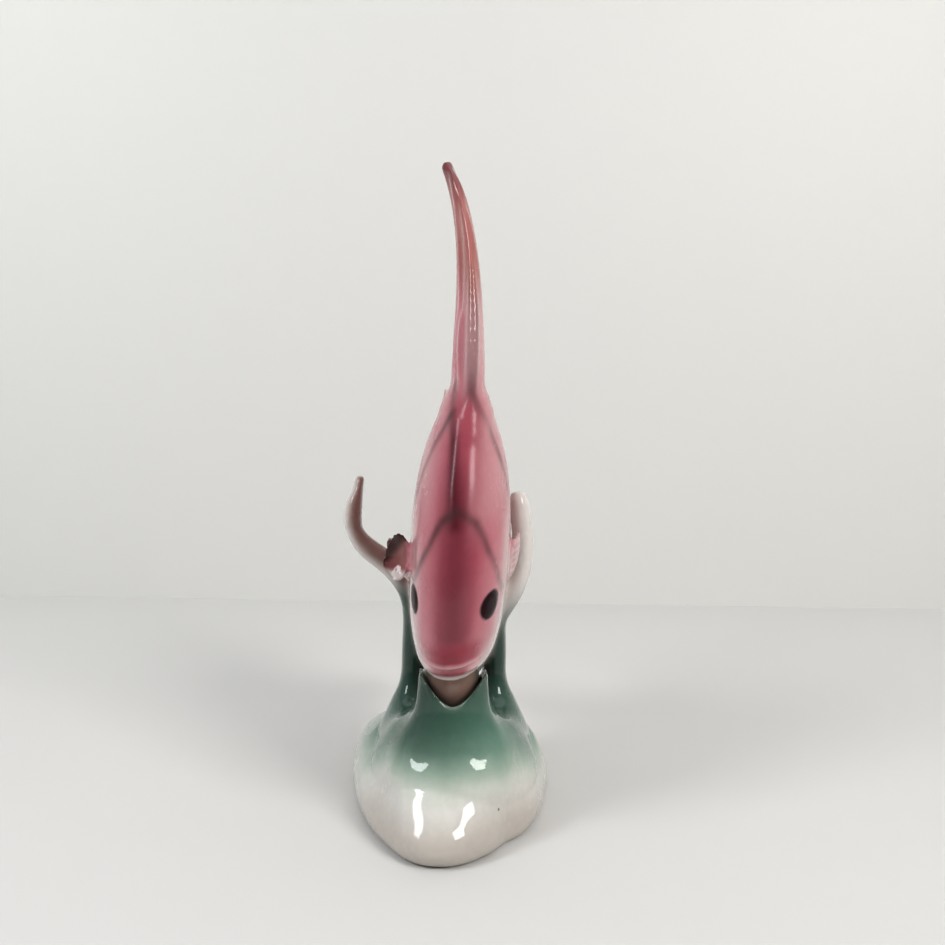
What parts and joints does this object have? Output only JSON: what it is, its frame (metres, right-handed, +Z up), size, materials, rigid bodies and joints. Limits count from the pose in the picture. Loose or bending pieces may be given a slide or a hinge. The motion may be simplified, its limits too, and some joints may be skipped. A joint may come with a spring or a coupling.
{
  "type": "fish figurine",
  "caption": "Glazed ceramic figurine of a diving angelfish with tall fins, held by curling water leaves on a lobed white mound with a flat foot.",
  "frame": {"origin": "middle of the mound's foot, on the plane of the foot ring", "axes": "+Z up out of the foot, -Y the way the fish looks, +X to the fish's left"},
  "size_m": [0.0849, 0.1734, 0.248],
  "materials": {
    "white_glaze": "gloss",
    "green_glaze": "gloss",
    "rose_glaze": "gloss"
  },
  "bodies": {
    "root": {"base": "white_glaze", "front_leaf": "green_glaze", "left_frond": "green_glaze", "right_frond": "green_glaze", "fish_body": "rose_glaze", "dorsal_fin": "rose_glaze", "anal_fin": "rose_glaze", "tail_fin": "rose_glaze", "left_pectoral_fin": "rose_glaze", "right_pectoral_fin": "rose_glaze", "left_pelvic_fin": "rose_glaze", "right_pelvic_fin": "rose_glaze"}
  },
  "joints": []
}
